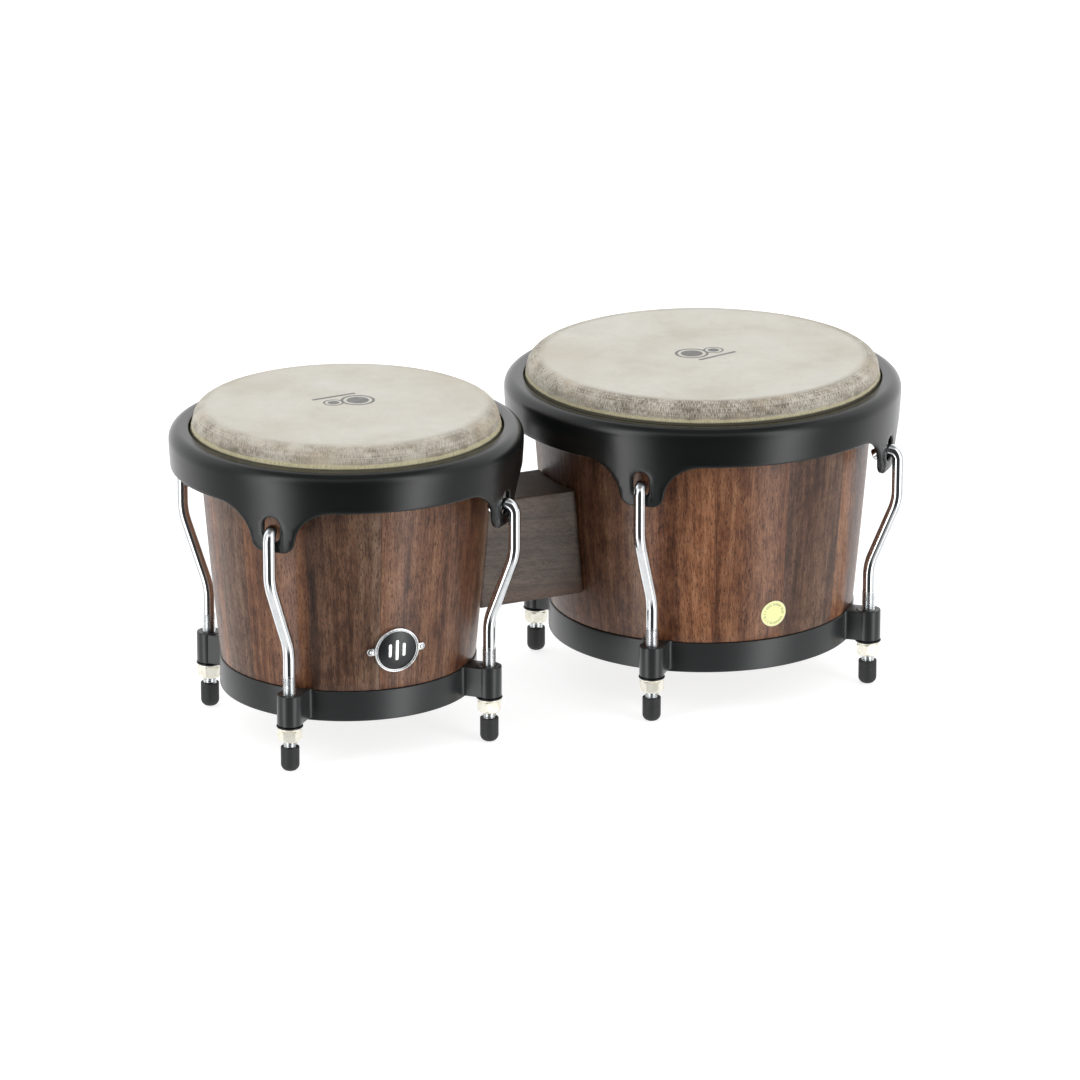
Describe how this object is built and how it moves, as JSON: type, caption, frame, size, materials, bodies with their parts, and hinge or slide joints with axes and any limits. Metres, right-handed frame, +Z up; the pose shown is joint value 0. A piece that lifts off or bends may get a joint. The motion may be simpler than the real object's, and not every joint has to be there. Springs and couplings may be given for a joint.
{
  "type": "bongo drums",
  "caption": "Pair of bongo drums: conical wooden stave shells with rawhide heads, rolled black rims, cranked tuning lugs on rubber feet and a centre block.",
  "frame": {"origin": "on the ground plane under the middle of the pair's overall box", "axes": "+Z up; +X from the small drum to the large drum; -Y is the front, where the badge is"},
  "size_m": [0.4508, 0.2342, 0.1943],
  "materials": {
    "walnut": "satin clear lacquer over reddish-brown vertical grain",
    "block_wood": "satin clear lacquer over greyish-brown grain",
    "rawhide": "dry natural rawhide, faint mottling, hairy grey collar",
    "black_steel": "satin black powder coat",
    "chrome": "bright plated",
    "zinc": "pale passivated zinc plate",
    "dark_washer": "blackened steel",
    "rubber": "smooth black moulded rubber",
    "steel": "plain bright zinc",
    "label_paper": "printed vellum sticker"
  },
  "bodies": {
    "frame": {"small_shell": "walnut", "small_head": "rawhide", "small_bottom_ring": "black_steel", "small_washer_front_left": "dark_washer", "small_washer_front_right": "dark_washer", "small_washer_back_right": "dark_washer", "small_washer_back_left": "dark_washer", "large_shell": "walnut", "large_head": "rawhide", "large_bottom_ring": "black_steel", "large_washer_front_left": "dark_washer", "large_washer_front_right": "dark_washer", "large_washer_back_right": "dark_washer", "large_washer_back_left": "dark_washer", "centre_block": "block_wood", "centre_rod_lower": "steel", "centre_rod_upper": "steel", "small_backing_plate": "steel", "small_rod_nut_lower": "steel", "small_rod_nut_upper": "steel", "large_backing_plate": "steel", "large_rod_nut_lower": "steel", "large_rod_nut_upper": "steel", "badge": "chrome", "badge_screw_left": "chrome", "badge_screw_right": "chrome", "round_label": "label_paper"},
    "small_tension_set": {"small_rim": "black_steel", "small_flesh_hoop": "steel", "small_lug_front_left": "chrome", "small_foot_front_left": "rubber", "small_lug_front_right": "chrome", "small_foot_front_right": "rubber", "small_lug_back_right": "chrome", "small_foot_back_right": "rubber", "small_lug_back_left": "chrome", "small_foot_back_left": "rubber"},
    "small_nut_front_left": {"small_nut_front_left": "zinc"},
    "small_nut_front_right": {"small_nut_front_right": "zinc"},
    "small_nut_back_right": {"small_nut_back_right": "zinc"},
    "small_nut_back_left": {"small_nut_back_left": "zinc"},
    "large_tension_set": {"large_rim": "black_steel", "large_flesh_hoop": "steel", "large_lug_front_left": "chrome", "large_foot_front_left": "rubber", "large_lug_front_right": "chrome", "large_foot_front_right": "rubber", "large_lug_back_right": "chrome", "large_foot_back_right": "rubber", "large_lug_back_left": "chrome", "large_foot_back_left": "rubber"},
    "large_nut_front_left": {"large_nut_front_left": "zinc"},
    "large_nut_front_right": {"large_nut_front_right": "zinc"},
    "large_nut_back_right": {"large_nut_back_right": "zinc"},
    "large_nut_back_left": {"large_nut_back_left": "zinc"}
  },
  "joints": [
    {"name": "small_tuning", "type": "slide", "parent": "frame", "child": "small_tension_set", "axis": [0, 0, -1], "range_m": [-0.003, 0.004]},
    {"name": "small_nut_front_left_turn", "type": "hinge", "parent": "frame", "child": "small_nut_front_left", "pos_m": [-0.18762, -0.05979, 0.0222], "axis": [0, 0, 1], "range_deg": [-874, 1162]},
    {"name": "small_nut_front_right_turn", "type": "hinge", "parent": "frame", "child": "small_nut_front_right", "pos_m": [-0.06326, -0.06457, 0.0222], "axis": [0, 0, 1], "range_deg": [-874, 1162]},
    {"name": "small_nut_back_right_turn", "type": "hinge", "parent": "frame", "child": "small_nut_back_right", "pos_m": [-0.05848, 0.05979, 0.0222], "axis": [0, 0, 1], "range_deg": [-874, 1162]},
    {"name": "small_nut_back_left_turn", "type": "hinge", "parent": "frame", "child": "small_nut_back_left", "pos_m": [-0.18284, 0.06457, 0.0222], "axis": [0, 0, 1], "range_deg": [-874, 1162]},
    {"name": "large_tuning", "type": "slide", "parent": "frame", "child": "large_tension_set", "axis": [0, 0, -1], "range_m": [-0.003, 0.004]},
    {"name": "large_nut_front_left_turn", "type": "hinge", "parent": "frame", "child": "large_nut_front_left", "pos_m": [0.03726, -0.07439, 0.0222], "axis": [0, 0, 1], "range_deg": [-874, 1162]},
    {"name": "large_nut_front_right_turn", "type": "hinge", "parent": "frame", "child": "large_nut_front_right", "pos_m": [0.18274, -0.07109, 0.0222], "axis": [0, 0, 1], "range_deg": [-874, 1162]},
    {"name": "large_nut_back_right_turn", "type": "hinge", "parent": "frame", "child": "large_nut_back_right", "pos_m": [0.17944, 0.07439, 0.0222], "axis": [0, 0, 1], "range_deg": [-874, 1162]},
    {"name": "large_nut_back_left_turn", "type": "hinge", "parent": "frame", "child": "large_nut_back_left", "pos_m": [0.03396, 0.07109, 0.0222], "axis": [0, 0, 1], "range_deg": [-874, 1162]}
  ],
  "couplings": [
    {"joint": "small_nut_front_left_turn", "follows": "small_tuning", "rad_per_m": 5026.5},
    {"joint": "small_nut_front_right_turn", "follows": "small_tuning", "rad_per_m": 5026.5},
    {"joint": "small_nut_back_right_turn", "follows": "small_tuning", "rad_per_m": 5026.5},
    {"joint": "small_nut_back_left_turn", "follows": "small_tuning", "rad_per_m": 5026.5},
    {"joint": "large_nut_front_left_turn", "follows": "large_tuning", "rad_per_m": 5026.5},
    {"joint": "large_nut_front_right_turn", "follows": "large_tuning", "rad_per_m": 5026.5},
    {"joint": "large_nut_back_right_turn", "follows": "large_tuning", "rad_per_m": 5026.5},
    {"joint": "large_nut_back_left_turn", "follows": "large_tuning", "rad_per_m": 5026.5}
  ]
}
